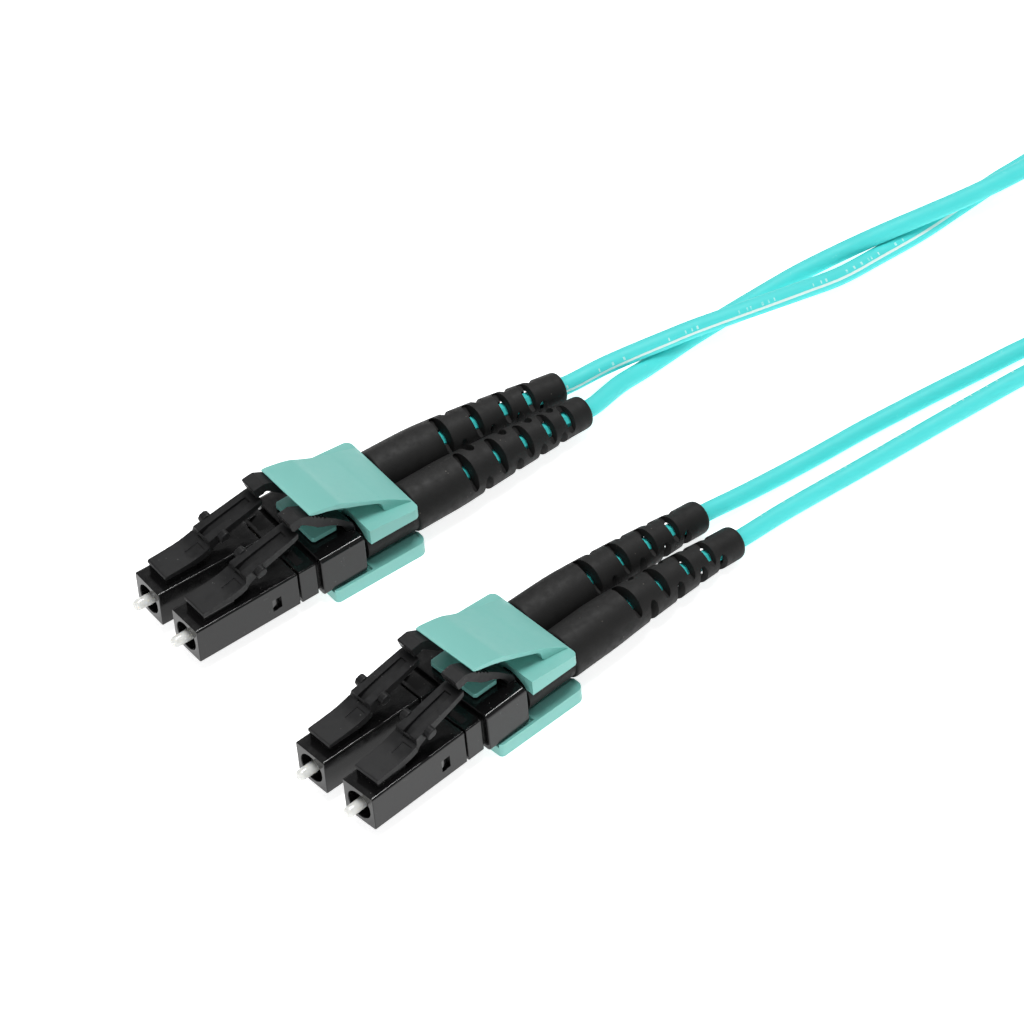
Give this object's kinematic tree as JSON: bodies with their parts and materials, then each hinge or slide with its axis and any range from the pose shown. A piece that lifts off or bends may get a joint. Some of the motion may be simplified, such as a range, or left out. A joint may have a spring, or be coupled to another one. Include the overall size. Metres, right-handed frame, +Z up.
{
  "type": "fiber optic patch cord",
  "caption": "Duplex LC to duplex LC multimode patch cord: aqua jacketed cords, black latched connectors in aqua duplex clips, slotted boots, the spare length coiled and tied.",
  "frame": {"origin": "middle of the two plugged ends together, on the surface they lie on", "axes": "+X from the ferrules towards the boots along end A, +Y from end B towards end A, +Z up"},
  "size_m": [0.1829, 0.0585, 0.0123],
  "materials": {
    "housing_black": "polished black moulding",
    "lever_black": "satin black moulding",
    "boot_rubber": "fine matt grain",
    "clip_aqua": "satin aqua moulding",
    "cord_aqua": "smooth aqua jacket, one of the two with a white tracer stripe",
    "zirconia": "polished white ceramic",
    "nickel_brass": "nickel plated",
    "spring_steel": "drawn wire",
    "tie_black": "smooth"
  },
  "bodies": {
    "body": {"a_l_front_housing": "housing_black", "a_l_rear_housing": "housing_black", "a_l_ferrule_spring": "spring_steel", "a_l_back_post": "nickel_brass", "a_l_crimp_sleeve": "nickel_brass", "a_l_strain_relief_boot": "boot_rubber", "a_l_inner_lead": "cord_aqua", "a_r_front_housing": "housing_black", "a_r_rear_housing": "housing_black", "a_r_ferrule_spring": "spring_steel", "a_r_back_post": "nickel_brass", "a_r_crimp_sleeve": "nickel_brass", "a_r_strain_relief_boot": "boot_rubber", "a_r_inner_lead": "cord_aqua", "b_l_front_housing": "housing_black", "b_l_rear_housing": "housing_black", "b_l_ferrule_spring": "spring_steel", "b_l_back_post": "nickel_brass", "b_l_crimp_sleeve": "nickel_brass", "b_l_strain_relief_boot": "boot_rubber", "b_l_inner_lead": "cord_aqua", "b_r_front_housing": "housing_black", "b_r_rear_housing": "housing_black", "b_r_ferrule_spring": "spring_steel", "b_r_back_post": "nickel_brass", "b_r_crimp_sleeve": "nickel_brass", "b_r_strain_relief_boot": "boot_rubber", "b_r_inner_lead": "cord_aqua", "a_duplex_clip": "clip_aqua", "b_duplex_clip": "clip_aqua", "cord_1_end_a": "cord_aqua", "cord_2_end_a": "cord_aqua", "cord_1_end_b": "cord_aqua", "cord_2_end_b": "cord_aqua", "stored_coil": "cord_aqua", "coil_tie": "tie_black"},
    "a_press_lever": {"a_press_lever": "clip_aqua"},
    "b_press_lever": {"b_press_lever": "clip_aqua"},
    "a_l_trigger": {"a_l_trigger_arm": "lever_black"},
    "a_l_latch": {"a_l_latch_lever": "lever_black"},
    "a_l_ferrule_body": {"a_l_ferrule": "zirconia", "a_l_ferrule_flange": "nickel_brass"},
    "a_r_trigger": {"a_r_trigger_arm": "lever_black"},
    "a_r_latch": {"a_r_latch_lever": "lever_black"},
    "a_r_ferrule_body": {"a_r_ferrule": "zirconia", "a_r_ferrule_flange": "nickel_brass"},
    "b_l_trigger": {"b_l_trigger_arm": "lever_black"},
    "b_l_latch": {"b_l_latch_lever": "lever_black"},
    "b_l_ferrule_body": {"b_l_ferrule": "zirconia", "b_l_ferrule_flange": "nickel_brass"},
    "b_r_trigger": {"b_r_trigger_arm": "lever_black"},
    "b_r_latch": {"b_r_latch_lever": "lever_black"},
    "b_r_ferrule_body": {"b_r_ferrule": "zirconia", "b_r_ferrule_flange": "nickel_brass"}
  },
  "joints": [
    {"name": "a_press_lever_hinge", "type": "hinge", "parent": "body", "child": "a_press_lever", "pos_m": [0.00163, 0.01506, 0.00794], "axis": [0, -1, 0], "range_deg": [0, 7], "stiffness_Nm_per_rad": 0.0005, "springref_deg": -2.86},
    {"name": "b_press_lever_hinge", "type": "hinge", "parent": "body", "child": "b_press_lever", "pos_m": [0.00118, -0.01268, 0.00794], "axis": [0.1115, -0.9938, 0], "range_deg": [0, 7], "stiffness_Nm_per_rad": 0.0005, "springref_deg": -2.86},
    {"name": "a_l_trigger_hinge", "type": "hinge", "parent": "body", "child": "a_l_trigger", "pos_m": [-0.00443, 0.01823, 0.00689], "axis": [-0.0133, -0.9999, 0], "range_deg": [0, 12]},
    {"name": "a_l_latch_hinge", "type": "hinge", "parent": "body", "child": "a_l_latch", "pos_m": [-0.02027, 0.01844, 0.00736], "axis": [0.0133, 0.9999, 0], "range_deg": [0, 10]},
    {"name": "a_l_ferrule_slide", "type": "slide", "parent": "body", "child": "a_l_ferrule_body", "axis": [0.9999, -0.0133, 0], "range_m": [0, 0.0008], "stiffness_N_per_m": 20, "springref_m": -0.0005, "deforming": ["a_l_ferrule_spring"]},
    {"name": "a_r_trigger_hinge", "type": "hinge", "parent": "body", "child": "a_r_trigger", "pos_m": [-0.00443, 0.01189, 0.00689], "axis": [0.0133, -0.9999, 0], "range_deg": [0, 12]},
    {"name": "a_r_latch_hinge", "type": "hinge", "parent": "body", "child": "a_r_latch", "pos_m": [-0.02027, 0.01168, 0.00736], "axis": [-0.0133, 0.9999, 0], "range_deg": [0, 10]},
    {"name": "a_r_ferrule_slide", "type": "slide", "parent": "body", "child": "a_r_ferrule_body", "axis": [0.9999, 0.0133, 0], "range_m": [0, 0.0008], "stiffness_N_per_m": 20, "springref_m": -0.0005, "deforming": ["a_r_ferrule_spring"]},
    {"name": "b_l_trigger_hinge", "type": "hinge", "parent": "body", "child": "b_l_trigger", "pos_m": [-0.00519, -0.01018, 0.00689], "axis": [0.0893, -0.996, 0], "range_deg": [0, 12]},
    {"name": "b_l_latch_hinge", "type": "hinge", "parent": "body", "child": "b_l_latch", "pos_m": [-0.02098, -0.0116, 0.00736], "axis": [-0.0893, 0.996, 0], "range_deg": [0, 10]},
    {"name": "b_l_ferrule_slide", "type": "slide", "parent": "body", "child": "b_l_ferrule_body", "axis": [0.996, 0.0893, 0], "range_m": [0, 0.0008], "stiffness_N_per_m": 20, "springref_m": -0.0005, "deforming": ["b_l_ferrule_spring"]},
    {"name": "b_r_trigger_hinge", "type": "hinge", "parent": "body", "child": "b_r_trigger", "pos_m": [-0.00448, -0.01653, 0.00689], "axis": [0.1336, -0.991, 0], "range_deg": [0, 12]},
    {"name": "b_r_latch_hinge", "type": "hinge", "parent": "body", "child": "b_r_latch", "pos_m": [-0.02019, -0.01865, 0.00736], "axis": [-0.1336, 0.991, 0], "range_deg": [0, 10]},
    {"name": "b_r_ferrule_slide", "type": "slide", "parent": "body", "child": "b_r_ferrule_body", "axis": [0.991, 0.1336, 0], "range_m": [0, 0.0008], "stiffness_N_per_m": 20, "springref_m": -0.0005, "deforming": ["b_r_ferrule_spring"]}
  ],
  "couplings": [
    {"joint": "a_l_trigger_hinge", "follows": "a_press_lever_hinge", "ratio": 1.7},
    {"joint": "a_l_latch_hinge", "follows": "a_press_lever_hinge", "ratio": 1.4},
    {"joint": "a_r_trigger_hinge", "follows": "a_press_lever_hinge", "ratio": 1.7},
    {"joint": "a_r_latch_hinge", "follows": "a_press_lever_hinge", "ratio": 1.4},
    {"joint": "b_l_trigger_hinge", "follows": "b_press_lever_hinge", "ratio": 1.7},
    {"joint": "b_l_latch_hinge", "follows": "b_press_lever_hinge", "ratio": 1.4},
    {"joint": "b_r_trigger_hinge", "follows": "b_press_lever_hinge", "ratio": 1.7},
    {"joint": "b_r_latch_hinge", "follows": "b_press_lever_hinge", "ratio": 1.4}
  ]
}
